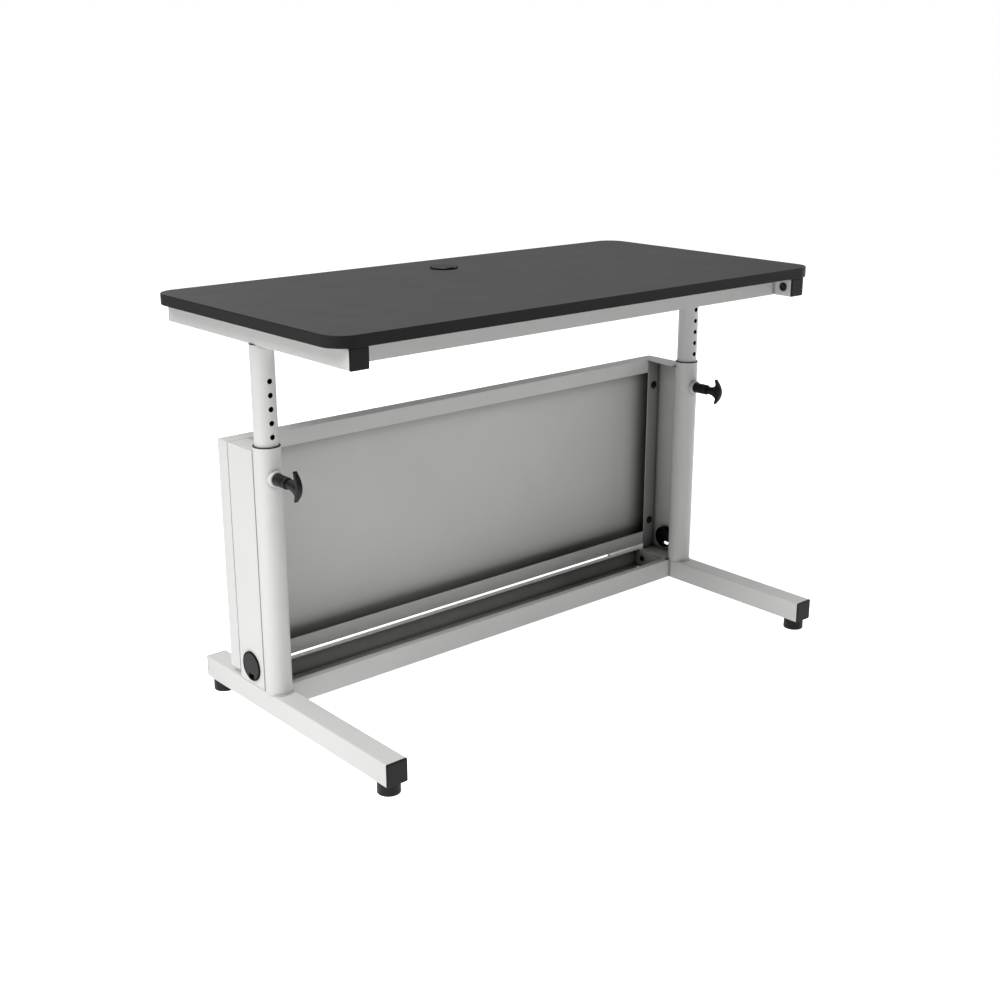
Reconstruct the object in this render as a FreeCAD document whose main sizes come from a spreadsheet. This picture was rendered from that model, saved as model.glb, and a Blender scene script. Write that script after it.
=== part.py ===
"""Height adjustable standing desk on two telescopic steel legs.

Frame: origin on the floor under the middle of the desk's outline, +X along the tabletop,
-Y towards the person at the desk, +Z up. Millimetres.
"""
import FreeCAD, Part
import math
import os
import Sketcher

V = FreeCAD.Vector
doc = FreeCAD.newDocument("standing_desk")

# ---------------------------------------------------------------- driving sizes
SIZES = {
    # tabletop
    "top_long": 1219.2,
    "top_deep": 605.0,
    "top_thick": 21.0,
    "top_height": 793.6,
    "corner_round": 45.0,
    "band_thick": 2.0,
    "band_ease": 1.2,
    "port_clear": 1.1,  # tabletop cable port to the rear cross rail
    # upper frame
    "leg_inset": 48.9,  # end of the tabletop to the leg's axis
    "rail_side": 38.1,
    "rail_wall": 1.5,
    "rail_inset": 4.2,  # tabletop's edge to the end of a side rail
    "cross_inset": 47.6,  # end of a side rail to the outer face of a cross rail
    "head_thick": 3.0,  # head of every end cap
    "head_bevel": 0.8,
    "plug_deep": 12.0,  # hollow plug of every end cap
    "plug_wall": 2.0,
    "corner_soft": 2.5,  # outer corner radius of the square tubes
    "button_wide": 18.0,
    "button_hole": 13.0,
    "button_inset": 22.6,
    "button_edge": 1.0,
    "button_dome": 2.2,
    "button_catch": 4.0,  # plug of a button past the rail's wall
    "screw_wide": 5.0,
    "screw_head": 11.0,
    "screw_cap": 3.5,
    "screw_bite": 15.0,
    "screw_reach": 180.0,
    "screw_apart": 600.0,
    # telescopic legs
    "outer_wide": 50.8,
    "tube_wall": 1.5,
    "sleeve_room": 1.675,  # inner tube to the outer tube's bore, on each side
    "leg_top": 549.9,  # top of the bushing above the floor
    "low_gap": 5.0,  # inner tube to the foot with the top at its lowest
    "sleeve_long": 45.0,
    "sleeve_lip": 2.0,
    "bushing_long": 40.0,
    "bushing_lip": 1.5,
    "slide_gap": 0.05,
    "turn_gap": 0.1,
    "hole_wide": 10.0,
    "hole_pitch": 25.4,
    "holes_above": 7.0,
    "holes_below": 5.0,
    # spring plunger; every reach is taken from the face of the outer tube
    "pin_drop": 57.9,  # top of the leg to the pin's axis
    "boss_wide": 30.0,
    "boss_reach": 6.1,
    "boss_bevel": 1.5,
    "thread_wide": 16.0,
    "barrel_wide": 22.5,
    "barrel_reach": 41.6,
    "groove_reach": 30.6,
    "groove_wide": 2.0,
    "groove_deep": 1.5,
    "edge_break": 1.0,  # broken edges of the turned pieces
    "chamber_wide": 14.0,
    "chamber_reach": 34.6,
    "chamber_start": 7.6,
    "collar_thick": 3.0,
    "pin_bite": 4.7,  # tip of the pin inside the inner tube's face
    "pin_round": 1.5,
    "rod_wide": 6.0,
    "spring_wire": 1.2,
    "spring_coils": 7.0,
    "neck_wide": 16.5,
    "web_start": 5.0,  # front of the barrel to the web between neck and grip
    "web_high": 28.0,
    "grip_high": 57.3,
    "grip_wide": 9.0,
    "grip_tip_reach": 67.6,
    "grip_reach": 80.1,
    "grip_thick": 10.0,
    "tip_thick": 5.0,
    # feet
    "foot_side": 44.45,
    "foot_wall": 2.0,
    "foot_clear": 22.6,
    "foot_front": 371.9,
    "foot_rear": 234.7,
    "glide_inset": 26.3,  # end of a foot to the glide's axis
    "glide_wide": 42.2,
    "stem_wide": 10.0,
    "stem_bite": 33.4,  # stem above the foot's underside
    "glide_nut_wide": 18.0,
    "glide_nut_high": 10.0,
    "seat_gap": 0.3,
    # folded sheet parts behind the legs
    "sheet": 1.2,
    "bend": 2.0,
    "side_wide": 43.6,  # depth of the side cover across the desk
    "side_back": 103.8,  # leg line to the joint of side cover and rear panel
    "side_top": 538.0,
    "flange_wide": 41.5,
    "flange_flare": 11.5,
    "flange_front": 10.0,
    "lip_side": 36.6,
    "lip_high": 31.0,
    "panel_deep": 34.1,
    "panel_low": 81.0,
    "bolt_inset": 18.3,
    "bolt_rise": 57.2,  # lower edge of the panel to the lower bolts
    "bolt_drop": 63.4,  # upper edge of the panel to the upper bolts
    "bolt_wide": 8.0,
    "bolt_clear": 0.5,  # every screw and bolt hole over its shank
    "bolt_head": 17.8,
    "bolt_cap": 4.4,
    "bolt_nut": 13.0,
    "bolt_past": 2.0,  # end of a bolt past its nut
    "thread_bevel": 0.6,
    "port_setback": 59.0,
    "port_rise": 36.95,  # top of the foot to the side port's axis
    # cable ports
    "port_hole": 50.0,
    "port_lip": 4.0,  # flange past the hole
    "port_rim": 2.6,
    "port_wall": 2.2,
    "port_skirt": 14.0,
    "port_cap": 1.8,
    "cap_skirt": 7.0,
    "port_slot": 19.0,
    "slot_deep": 10.5,
    # cable tray
    "tray_front": 9.0,
    "tray_back": 122.4,
    "tray_lift": 1.15,  # underside of the foot to underside of the tray
    "tray_lip": 14.1,
    "tray_bolt_apart": 62.6,
    "tray_bolt_wide": 6.0,
    "tray_bolt_head": 13.6,
    "tray_bolt_cap": 3.3,
    "tray_bolt_long": 12.0,
    "drain_wide": 6.0,
    "drain_inset": 8.0,
    "drain_setback": 20.0,
}

sheet = doc.addObject("Spreadsheet::Sheet", "dims")
for row, (name, value) in enumerate(SIZES.items(), 1):
    sheet.set(f"A{row}", name)
    sheet.set(f"B{row}", str(value))
    sheet.setAlias(f"B{row}", name)
doc.recompute()


class Size:
    """A length together with the sheet formula that gives it."""

    def __init__(self, value, text):
        self.value, self.text = value, text

    @staticmethod
    def of(other):
        return other if isinstance(other, Size) else Size(float(other), repr(float(other)))

    def join(self, other, sign, value):
        return Size(value, f"({self.text} {sign} {other.text})")

    def __add__(self, other):
        other = Size.of(other)
        return self.join(other, "+", self.value + other.value)

    def __sub__(self, other):
        other = Size.of(other)
        return self.join(other, "-", self.value - other.value)

    def __mul__(self, other):
        other = Size.of(other)
        return self.join(other, "*", self.value * other.value)

    def __truediv__(self, other):
        other = Size.of(other)
        return self.join(other, "/", self.value / other.value)

    def __radd__(self, other):
        return Size.of(other) + self

    def __rsub__(self, other):
        return Size.of(other) - self

    def __rmul__(self, other):
        return Size.of(other) * self

    def __neg__(self):
        return Size.of(0) - self


class Dims:
    """The driving sizes by name."""

    def __getattr__(self, name):
        return Size(SIZES[name], f"dims.{name}")


d = Dims()


def bind(thing, prop, size):
    thing.setExpression(prop, Size.of(size).text)


def place(thing, at, turn=None):
    """Put a piece at a point, turned by (axis, degrees) about it."""
    if turn:
        thing.Placement = FreeCAD.Placement(V(), FreeCAD.Rotation(V(*turn[0]), turn[1]))
    for letter, size in zip("xyz", at):
        bind(thing, f"Placement.Base.{letter}", size)
    return thing


def new_body(label, at=(0, 0, 0), turn=None):
    body = doc.addObject("PartDesign::Body", label)
    body.Label = label
    return place(body, at, turn)


def sketch(body, plane, lift=0):
    """A sketch on one of the body's own planes, moved along that plane's normal."""
    sk = body.newObject("Sketcher::SketchObject", "Outline")
    base = next(p for p in body.Origin.OriginFeatures if p.Role == plane)
    sk.AttachmentSupport = [(base, "")]
    sk.MapMode = "FlatFace"
    bind(sk, "AttachmentOffset.Base.z", lift)
    return sk


def fix(sk, geo, end, point):
    """Tie one point of a sketch to its two distances from the sketch's origin."""
    for kind, size in zip(("DistanceX", "DistanceY"), point):
        size = Size.of(size)
        n = sk.addConstraint(Sketcher.Constraint(kind, -1, 1, geo, end, size.value))
        sk.setExpression(f"Constraints[{n}]", size.text)


def outline(sk, points):
    """A closed outline of straight lines."""
    first = sk.GeometryCount
    flat = [V(Size.of(a).value, Size.of(b).value, 0) for a, b in points]
    count = len(points)
    for i in range(count):
        sk.addGeometry(Part.LineSegment(flat[i], flat[(i + 1) % count]), False)
    for i in range(count):
        sk.addConstraint(
            Sketcher.Constraint("Coincident", first + i, 2, first + (i + 1) % count, 1)
        )
    for i, point in enumerate(points):
        fix(sk, first + i, 1, point)
    return sk


def rect(sk, left, right, low, high):
    return outline(sk, [(left, low), (right, low), (right, high), (left, high)])


def circle(sk, wide, at=(0, 0)):
    """A circle of a given diameter."""
    wide = Size.of(wide)
    centre = V(Size.of(at[0]).value, Size.of(at[1]).value, 0)
    geo = sk.addGeometry(Part.Circle(centre, V(0, 0, 1), wide.value / 2), False)
    fix(sk, geo, 3, at)
    n = sk.addConstraint(Sketcher.Constraint("Diameter", geo, wide.value))
    sk.setExpression(f"Constraints[{n}]", wide.text)
    return sk


def pad(body, sk, length, back=False, both=False):
    """Extrude a sketch along its normal, against it, or to both sides."""
    made = body.newObject("PartDesign::Pad", "Pad")
    made.Profile = sk
    made.Reversed = back
    made.SideType = "Symmetric" if both else "One side"
    bind(made, "Length", length)
    return made


def pocket(body, sk, length, ahead=False, both=False):
    """Cut against the sketch's normal, along it, or to both sides; it must remove something."""
    doc.recompute()
    before = body.Shape.Volume
    made = body.newObject("PartDesign::Pocket", "Pocket")
    made.Profile = sk
    made.Reversed = ahead
    made.SideType = "Symmetric" if both else "One side"
    bind(made, "Length", length)
    doc.recompute()
    if body.Shape.Volume > before - 1e-3:
        raise RuntimeError(f"{body.Label}: {made.Name} cuts nothing")
    return made


def turned(label, profile, at, turn=None, along="Z"):
    """A turned piece: pairs of (radius, distance along the axis) about Z, Y or X."""
    body = new_body(label, at, turn)
    if along == "Z":
        sk = outline(sketch(body, "XZ_Plane"), profile)
        axis = "V_Axis"
    else:
        plane = "YZ_Plane" if along == "Y" else "XZ_Plane"
        sk = outline(sketch(body, plane), [(far, radius) for radius, far in profile])
        axis = "H_Axis"
    spin = body.newObject("PartDesign::Revolution", "Revolution")
    spin.Profile = sk
    spin.ReferenceAxis = (sk, [axis])
    spin.Angle = 360
    return body


def edges_along(body, axis, keep):
    """Names of the body's straight edges along an axis whose middle passes a test."""
    doc.recompute()
    names = []
    for i, edge in enumerate(body.Shape.Edges, 1):
        if edge.Curve.TypeId != "Part::GeomLine":
            continue
        run = edge.Vertexes[-1].Point - edge.Vertexes[0].Point
        if abs(abs(run.normalize().dot(V(*axis))) - 1) < 1e-6:
            local = body.Placement.inverse().multVec(edge.CenterOfMass)
            if keep(local):
                names.append(f"Edge{i}")
    return names


def soften(body, names, radius, kind="Fillet"):
    """Round or chamfer the named edges of the body's last feature."""
    last = body.Tip
    made = body.newObject(f"PartDesign::{kind}", kind)
    made.Base = (last, names)
    bind(made, "Radius" if kind == "Fillet" else "Size", radius)
    doc.recompute()
    return made


def copies(label, source, spots):
    """One node of equal loose pieces: the source shown at each (point, turn)."""
    links = []
    for n, (at, turn) in enumerate(spots):
        link = doc.addObject("App::Link", f"{label}_{n + 1}")
        link.LinkedObject = source
        links.append(place(link, at, turn))
    group = doc.addObject("Part::Compound", label)
    group.Label = label
    group.Links = links
    nodes.append(group)


def box(x, y, z):
    """A box from its three (low, high) pairs."""
    made = doc.addObject("Part::Box", "Block")
    for prop, (low, high) in zip(("Length", "Width", "Height"), (x, y, z)):
        bind(made, prop, Size.of(high) - low)
    return place(made, (x[0], y[0], z[0]))


def rod(wide, length, at, turn=None):
    made = doc.addObject("Part::Cylinder", "Rod")
    bind(made, "Radius", Size.of(wide) / 2)
    bind(made, "Height", length)
    return place(made, at, turn)


def cut(label, base, tools):
    """Take each tool in turn out of the base; the last result is the node."""
    for tool in tools:
        made = doc.addObject("Part::Cut", "Cut")
        made.Base, made.Tool = base, tool
        base = made
    base.Label = label
    nodes.append(base)


nodes = []
SIDES = (("left", -1), ("right", 1))
HALF_TURN = ((0, 0, 1), 180)

# ---------------------------------------------------------------- derived places
leg_y = (d.foot_front - d.top_deep / 2) / 2
leg_x = d.top_long / 2 - d.leg_inset
under_top = d.top_height - d.top_thick
rail_low = under_top - d.rail_side
rail_long = d.top_deep - 2 * d.rail_inset
foot_top = d.foot_clear + d.foot_side
inner_face = leg_x - d.foot_side / 2  # inner face of a foot
rail_inner = leg_x - d.rail_side / 2  # inner face of a side rail
cover_x = leg_x - d.foot_side / 2 + d.side_wide  # outer face of a side cover
cross_y = rail_long / 2 - d.cross_inset - d.rail_side / 2
port_back = cross_y - d.rail_side / 2 - d.port_clear - d.port_hole / 2
tray_mid = (d.tray_front + d.tray_back) / 2

# ---------------------------------------------------------------- tabletop
# Particle board core with a laminate face, cut for the cable port and drilled for the screws.
screw_spots = [
    (sx * leg_x, leg_y + sy * d.screw_reach) for sx in (-1, 1) for sy in (-1, 1)
] + [(sx * d.screw_apart / 2, leg_y + sy * cross_y) for sx in (-1, 1) for sy in (-1, 1)]


def slab(label, inset, low):
    """A rounded rectangular slab, inset from the tabletop's outline."""
    body = new_body(label, (0, leg_y, low))
    half_x, half_y = d.top_long / 2 - inset, d.top_deep / 2 - inset
    pad(body, rect(sketch(body, "XY_Plane"), -half_x, half_x, -half_y, half_y), d.top_thick)
    soften(body, edges_along(body, (0, 0, 1), lambda p: True), d.corner_round - inset)
    return body


board = slab("tabletop_board", d.band_thick, under_top)
pocket(board, circle(sketch(board, "XY_Plane"), d.port_hole, (0, port_back)), d.top_thick, True)
pilot = sketch(board, "XY_Plane")
for x, y in screw_spots:
    circle(pilot, d.screw_wide, (x, y - leg_y))
pocket(board, pilot, d.screw_bite, True)
nodes.append(board)

# Moulded edge band glued round the core, its two rims eased.
band = slab("band_blank", Size.of(0), under_top)
rims = [
    f"Edge{i}"
    for i, edge in enumerate(band.Shape.Edges, 1)
    if abs(edge.BoundBox.ZLength) < 1e-6
]
soften(band, rims, d.band_ease)
core = slab("core_space", d.band_thick, under_top)
cut("tabletop_edge_band", band, [core])

# ---------------------------------------------------------------- cable ports
# A flanged liner is pressed in the hole; its cap turns in the flange and has one cable slot.
port_flange = d.port_hole + 2 * d.port_lip
cap_wide = port_flange - 2 * d.port_rim
bore = d.port_hole - 2 * d.port_wall
cap_low = d.port_rim - d.port_cap


def cable_port(name, at, turn=None, side=0):
    """Liner and cap; the slot points to -Y, or along the turned piece's X for a side's port."""
    liner = turned(
        f"{name}_liner",
        [
            (bore / 2, -d.port_skirt),
            (d.port_hole / 2, -d.port_skirt),
            (d.port_hole / 2, 0),
            (port_flange / 2, 0),
            (port_flange / 2, d.port_rim),
            (cap_wide / 2, d.port_rim),
            (cap_wide / 2, cap_low),
            (bore / 2, cap_low),
        ],
        at,
        turn,
    )
    skirt = bore / 2 - d.turn_gap
    cap = turned(
        f"{name}_cap",
        [
            (0, cap_low),
            (skirt - d.port_wall, cap_low),
            (skirt - d.port_wall, -d.cap_skirt),
            (skirt, -d.cap_skirt),
            (skirt, cap_low),
            (cap_wide / 2 - d.turn_gap, cap_low),
            (cap_wide / 2 - d.turn_gap, d.port_rim),
            (0, d.port_rim),
        ],
        at,
        turn,
    )
    across, out = d.port_slot / 2, (cap_wide / 2 - d.slot_deep, cap_wide)
    corners = [(-across, out[0]), (across, out[0]), (across, out[1]), (-across, out[1])]
    slot = [(side * b, a) if side else (a, -b) for a, b in corners]
    pocket(cap, outline(sketch(cap, "XY_Plane"), slot), 4 * d.port_skirt, both=True)
    nodes.extend((liner, cap))


cable_port("tabletop_port", (0, leg_y + port_back, d.top_height))

# ---------------------------------------------------------------- upper frame
# Square steel tubes: two side rails along Y and two cross rails along X welded between them.
screw_hole = d.screw_wide + d.bolt_clear


def square_tube(label, side, wall, length, at, turn=None):
    """A square tube along Y from its front end, with rounded outer corners."""
    body = new_body(label, at, turn)
    half = side / 2
    pad(body, rect(sketch(body, "XZ_Plane"), -half, half, -half, half), length, True)
    soften(body, edges_along(body, (0, 1, 0), lambda p: True), d.corner_soft)
    hollow = rect(
        sketch(body, "XZ_Plane"), wall - half, half - wall, wall - half, half - wall
    )
    pocket(body, hollow, length)
    return body


rail_mid = rail_low + d.rail_side / 2
rail_tube = rail_long - 2 * d.head_thick
button_reach = rail_long / 2 - d.button_inset
for side, s in SIDES:
    rail = square_tube(
        f"{side}_side_rail", d.rail_side, d.rail_wall, rail_tube,
        (s * leg_x, leg_y - rail_tube / 2, rail_mid),
    )
    holes = sketch(rail, "XY_Plane")
    for sy in (-1, 1):
        circle(holes, screw_hole, (0, rail_tube / 2 + sy * d.screw_reach))
    pocket(rail, holes, 2 * d.rail_side, both=True)
    # button holes through the inner wall, near each end
    holes = sketch(rail, "YZ_Plane")
    for sy in (-1, 1):
        circle(holes, d.button_hole, (rail_tube / 2 + sy * button_reach, 0))
    pocket(rail, holes, d.rail_side, ahead=s < 0)
    nodes.append(rail)

for end, s in (("front", -1), ("rear", 1)):
    rail = square_tube(
        f"{end}_cross_rail", d.rail_side, d.rail_wall, 2 * rail_inner,
        (-rail_inner if s < 0 else rail_inner, leg_y + s * cross_y, rail_mid),
        ((0, 0, 1), -90 if s < 0 else 90),
    )
    holes = sketch(rail, "XY_Plane")
    for sy in (-1, 1):
        circle(holes, screw_hole, (0, rail_inner + sy * d.screw_apart / 2))
    pocket(rail, holes, 2 * d.rail_side, both=True)
    nodes.append(rail)


# Moulded end caps: a flat head as wide as the tube and a hollow plug inside it.
def end_cap(label, side, wall):
    cap = new_body(label)
    half, plug = side / 2, side / 2 - wall - d.turn_gap
    pad(cap, rect(sketch(cap, "XZ_Plane"), -half, half, -half, half), d.head_thick, True)
    soften(cap, edges_along(cap, (0, 1, 0), lambda p: True), d.corner_soft)
    pad(
        cap,
        rect(sketch(cap, "XZ_Plane", -d.head_thick), -plug, plug, -plug, plug),
        d.plug_deep,
        True,
    )
    inner = plug - d.plug_wall
    pocket(
        cap,
        rect(sketch(cap, "XZ_Plane", -d.head_thick), -inner, inner, -inner, inner),
        d.plug_deep,
    )
    front = [
        f"Edge{i}"
        for i, edge in enumerate(cap.Shape.Edges, 1)
        if abs(edge.BoundBox.YMax) < 1e-6 and abs(edge.BoundBox.YMin) < 1e-6
    ]
    soften(cap, front, d.head_bevel, "Chamfer")
    return cap


rail_ends = [
    ((s * leg_x, leg_y + t * rail_long / 2, rail_mid), HALF_TURN if t > 0 else None)
    for s in (-1, 1)
    for t in (-1, 1)
]
copies("rail_end_caps", end_cap("rail_cap", d.rail_side, d.rail_wall), rail_ends)

# Press-in buttons that close the access holes in the rails' inner walls.
button = turned(
    "button",
    [
        (0, -d.rail_wall - d.button_catch),
        (d.button_hole / 2, -d.rail_wall - d.button_catch),
        (d.button_hole / 2, 0),
        (d.button_wide / 2, 0),
        (d.button_wide / 2, d.button_edge),
        (d.button_wide / 2 - d.button_dome, d.button_dome),
        (0, d.button_dome),
    ],
    (0, 0, 0),
)
copies(
    "rail_hole_buttons",
    button,
    [
        ((s * rail_inner, leg_y + t * button_reach, rail_mid), ((0, 1, 0), -90 * s))
        for s in (-1, 1)
        for t in (-1, 1)
    ],
)

# Pan head screws up through the rails into the board.
screw = turned(
    "screw",
    [
        (0, -d.screw_cap),
        (d.screw_head / 2 - d.screw_cap / 2, -d.screw_cap),
        (d.screw_head / 2, -d.screw_cap / 2),
        (d.screw_head / 2, 0),
        (d.screw_wide / 2, 0),
        (d.screw_wide / 2, d.rail_side + d.screw_bite - d.screw_wide / 2),
        (0, d.rail_side + d.screw_bite),
    ],
    (0, 0, 0),
)
copies("tabletop_screws", screw, [((x, y, rail_low), None) for x, y in screw_spots])

# ---------------------------------------------------------------- telescopic legs
outer_bore = d.outer_wide - 2 * d.tube_wall
inner_wide = outer_bore - 2 * d.sleeve_room
inner_low = foot_top + d.hole_pitch * d.holes_above + d.low_gap
tube_end = d.leg_top - d.bushing_lip  # top end of the outer tube
pin_height = d.leg_top - d.pin_drop
pin_wide = d.hole_wide - 2 * d.turn_gap


def round_tube(label, wide, low, high, x):
    """A vertical round tube on the leg line."""
    body = new_body(label, (x, leg_y, low))
    pad(body, circle(circle(sketch(body, "XY_Plane"), wide), wide - 2 * d.tube_wall), high - low)
    return body


def front_hole(body, wide, height):
    """A round hole through the front wall only, at a height above the body's origin."""
    sk = circle(sketch(body, "XZ_Plane"), wide, (0, height))
    return pocket(body, sk, d.outer_wide, ahead=True), sk


for side, s in SIDES:
    x = s * leg_x
    # inner tube, welded under the side rail, with its column of adjustment holes
    tube = round_tube(f"{side}_upper_tube", inner_wide, inner_low, rail_low, x)
    first = pin_height - d.hole_pitch * d.holes_below - inner_low
    hole, sk = front_hole(tube, d.hole_wide, first)
    column = tube.newObject("PartDesign::LinearPattern", "Holes")
    column.Originals = [hole]
    column.Direction = (sk, ["V_Axis"])
    column.Mode = "Spacing"
    bind(column, "Offset", d.hole_pitch)
    bind(column, "Occurrences", d.holes_above + d.holes_below + 1)
    tube.Tip = column
    nodes.append(tube)

    # plastic sleeve pressed on the inner tube's lower end
    sleeve = turned(
        f"{side}_tube_sleeve",
        [
            (inner_wide / 2 - d.tube_wall, -d.sleeve_lip),
            (outer_bore / 2 - d.slide_gap, -d.sleeve_lip),
            (outer_bore / 2 - d.slide_gap, d.sleeve_long),
            (inner_wide / 2, d.sleeve_long),
            (inner_wide / 2, 0),
            (inner_wide / 2 - d.tube_wall, 0),
        ],
        (x, leg_y, inner_low),
    )
    nodes.append(sleeve)

    # outer tube, standing on the foot
    tube = round_tube(f"{side}_lower_tube", d.outer_wide, foot_top, tube_end, x)
    front_hole(tube, d.hole_wide, pin_height - foot_top)
    nodes.append(tube)

    # plastic bushing in the outer tube's mouth; its lip is the black ring
    nodes.append(
        turned(
            f"{side}_tube_bushing",
            [
                (inner_wide / 2 + d.slide_gap, -d.bushing_long),
                (outer_bore / 2, -d.bushing_long),
                (outer_bore / 2, 0),
                (d.outer_wide / 2, 0),
                (d.outer_wide / 2, d.bushing_lip / 2),
                (d.outer_wide / 2 - d.bushing_lip / 2, d.bushing_lip),
                (inner_wide / 2 + d.slide_gap, d.bushing_lip),
            ],
            (x, leg_y, tube_end),
        )
    )

# ---------------------------------------------------------------- spring plungers
# Each leg's plunger lies along Y at the pin's height, in front of the leg's axis.
face = d.outer_wide / 2
rod_bore = d.rod_wide / 2 + d.turn_gap
pin_bore = pin_wide / 2 + d.turn_gap
boss_front = face + d.boss_reach
barrel_front = face + d.barrel_reach
groove = face + d.groove_reach
chamber_back = face + d.chamber_start
chamber_front = face + d.chamber_reach
collar_back = chamber_back + d.seat_gap
collar_front = collar_back + d.collar_thick
pin_tip = inner_wide / 2 - d.pin_bite
grip_front = face + d.grip_reach
grip_back = grip_front - d.grip_thick
grip_core = grip_front - d.grip_thick / 2


def ahead(pairs):
    """Profile pairs (radius, reach) laid out along -Y."""
    return [(radius, -Size.of(reach)) for radius, reach in pairs]


for side, s in SIDES:
    at = (s * leg_x, leg_y, pin_height)
    # boss welded to the outer tube, its back hollowed to the tube's radius
    boss = turned(
        f"{side}_plunger_boss",
        ahead(
            [
                (d.thread_wide / 2, face / 2),
                (d.boss_wide / 2, face / 2),
                (d.boss_wide / 2, boss_front - d.boss_bevel),
                (d.boss_wide / 2 - d.boss_bevel, boss_front),
                (d.thread_wide / 2, boss_front),
            ]
        ),
        at,
        along="Y",
    )
    pocket(boss, circle(sketch(boss, "XY_Plane"), d.outer_wide), 2 * d.boss_wide, both=True)
    nodes.append(boss)

    # barrel screwed into the boss: spring chamber inside, a groove and a collar outside
    seat = face + d.seat_gap
    nodes.append(
        turned(
            f"{side}_plunger_barrel",
            ahead(
                [
                    (pin_bore, seat),
                    (d.thread_wide / 2, seat),
                    (d.thread_wide / 2, boss_front),
                    (d.barrel_wide / 2, boss_front),
                    (d.barrel_wide / 2, groove),
                    (d.barrel_wide / 2 - d.groove_deep, groove),
                    (d.barrel_wide / 2 - d.groove_deep, groove + d.groove_wide),
                    (d.barrel_wide / 2, groove + d.groove_wide),
                    (d.barrel_wide / 2, barrel_front - d.edge_break),
                    (d.barrel_wide / 2 - d.edge_break, barrel_front),
                    (rod_bore, barrel_front),
                    (rod_bore, chamber_front),
                    (d.chamber_wide / 2, chamber_front),
                    (d.chamber_wide / 2, chamber_back),
                    (pin_bore, chamber_back),
                ]
            ),
            at,
            along="Y",
        )
    )

    # steel pin: rounded tip in the adjustment hole, collar under the spring, rod to the handle
    nodes.append(
        turned(
            f"{side}_plunger_pin",
            ahead(
                [
                    (0, pin_tip),
                    (pin_wide / 2 - d.pin_round, pin_tip),
                    (pin_wide / 2, pin_tip + d.pin_round),
                    (pin_wide / 2, collar_back),
                    (d.chamber_wide / 2 - d.seat_gap, collar_back),
                    (d.chamber_wide / 2 - d.seat_gap, collar_front),
                    (d.rod_wide / 2, collar_front),
                    (d.rod_wide / 2, grip_back),
                    (0, grip_back),
                ]
            ),
            at,
            along="Y",
        )
    )

    # compression spring round the rod, between the pin's collar and the chamber's end
    wire = d.spring_wire
    room = chamber_front - collar_front - wire - 2 * d.turn_gap
    coil = doc.addObject("Part::Helix", "Coil")
    bind(coil, "Pitch", room / d.spring_coils)
    bind(coil, "Height", room)
    bind(coil, "Radius", (d.chamber_wide + d.rod_wide) / 4)
    place(coil, (0, 0, 0))
    ring = doc.addObject("Part::RegularPolygon", "Wire")
    ring.Polygon = 8
    bind(ring, "Circumradius", wire / 2)
    place(ring, ((d.chamber_wide + d.rod_wide) / 4, 0, 0), ((1, 0, 0), 90))
    spring = doc.addObject("Part::Sweep", f"{side}_plunger_spring")
    spring.Sections = [ring]
    spring.Spine = (coil, ["Edge1"])
    spring.Solid = True
    spring.Frenet = True
    place(
        spring,
        (at[0], leg_y - collar_front - wire / 2 - d.turn_gap, pin_height),
        ((1, 0, 0), 90),
    )
    spring.Label = f"{side}_plunger_spring"
    nodes.append(spring)

    # moulded pull handle: an anchor shaped grip, and a web that spreads from its neck
    grip = new_body(f"{side}_pull_handle", at)
    neck = circle(sketch(grip, "XZ_Plane", barrel_front + d.seat_gap), d.neck_wide)
    pad(grip, neck, grip_back - barrel_front - d.seat_gap)
    root, spread = barrel_front + d.web_start, d.web_high / 2
    web = outline(
        sketch(grip, "YZ_Plane"),
        [
            (-root, -d.neck_wide / 2),
            (-grip_core, -spread),
            (-grip_core, spread),
            (-root, d.neck_wide / 2),
        ],
    )
    pad(grip, web, d.grip_wide, both=True)
    half = d.grip_high / 2
    tip = -(face + d.grip_tip_reach)
    sk = sketch(grip, "YZ_Plane")
    ends = [
        (tip - d.tip_thick / 2, half),
        (tip - d.tip_thick / 2, -half),
        (tip + d.tip_thick / 2, -half),
        (tip + d.tip_thick / 2, half),
    ]
    flat = [V(a.value, b.value, 0) for a, b in ends]
    outer = sk.addGeometry(Part.Arc(flat[0], V(-grip_front.value, 0, 0), flat[1]), False)
    low = sk.addGeometry(Part.LineSegment(flat[1], flat[2]), False)
    inner = sk.addGeometry(Part.Arc(flat[3], V(-grip_back.value, 0, 0), flat[2]), False)
    high = sk.addGeometry(Part.LineSegment(flat[3], flat[0]), False)
    for geo, end, line, line_end in (
        (outer, 1, high, 2),
        (outer, 2, low, 1),
        (inner, 1, high, 1),
        (inner, 2, low, 2),
    ):
        sk.addConstraint(Sketcher.Constraint("Coincident", geo, end, line, line_end))
    fix(sk, low, 1, ends[1])
    fix(sk, low, 2, ends[2])
    fix(sk, high, 1, ends[3])
    fix(sk, high, 2, ends[0])
    for geo, reach, thick in ((outer, grip_front, 0.5), (inner, grip_back, -0.5)):
        # radius of the arc through the two tips and the middle
        rise = reach + tip - d.tip_thick * thick
        radius = (half * half + rise * rise) / (2 * rise)
        n = sk.addConstraint(Sketcher.Constraint("Radius", geo, radius.value))
        sk.setExpression(f"Constraints[{n}]", radius.text)
    pad(grip, sk, d.grip_wide, both=True)
    pocket(grip, circle(sketch(grip, "XZ_Plane"), d.rod_wide), grip_back, ahead=True)
    nodes.append(grip)

# ---------------------------------------------------------------- feet
foot_mid = d.foot_clear + d.foot_side / 2
foot_tube = d.foot_front + d.foot_rear - 2 * d.head_thick
glide_spots = [("front", d.glide_inset - d.foot_front), ("rear", d.foot_rear - d.glide_inset)]
tray_bolts = [(t, tray_mid + t * d.tray_bolt_apart / 2) for t in (-1, 1)]

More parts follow.
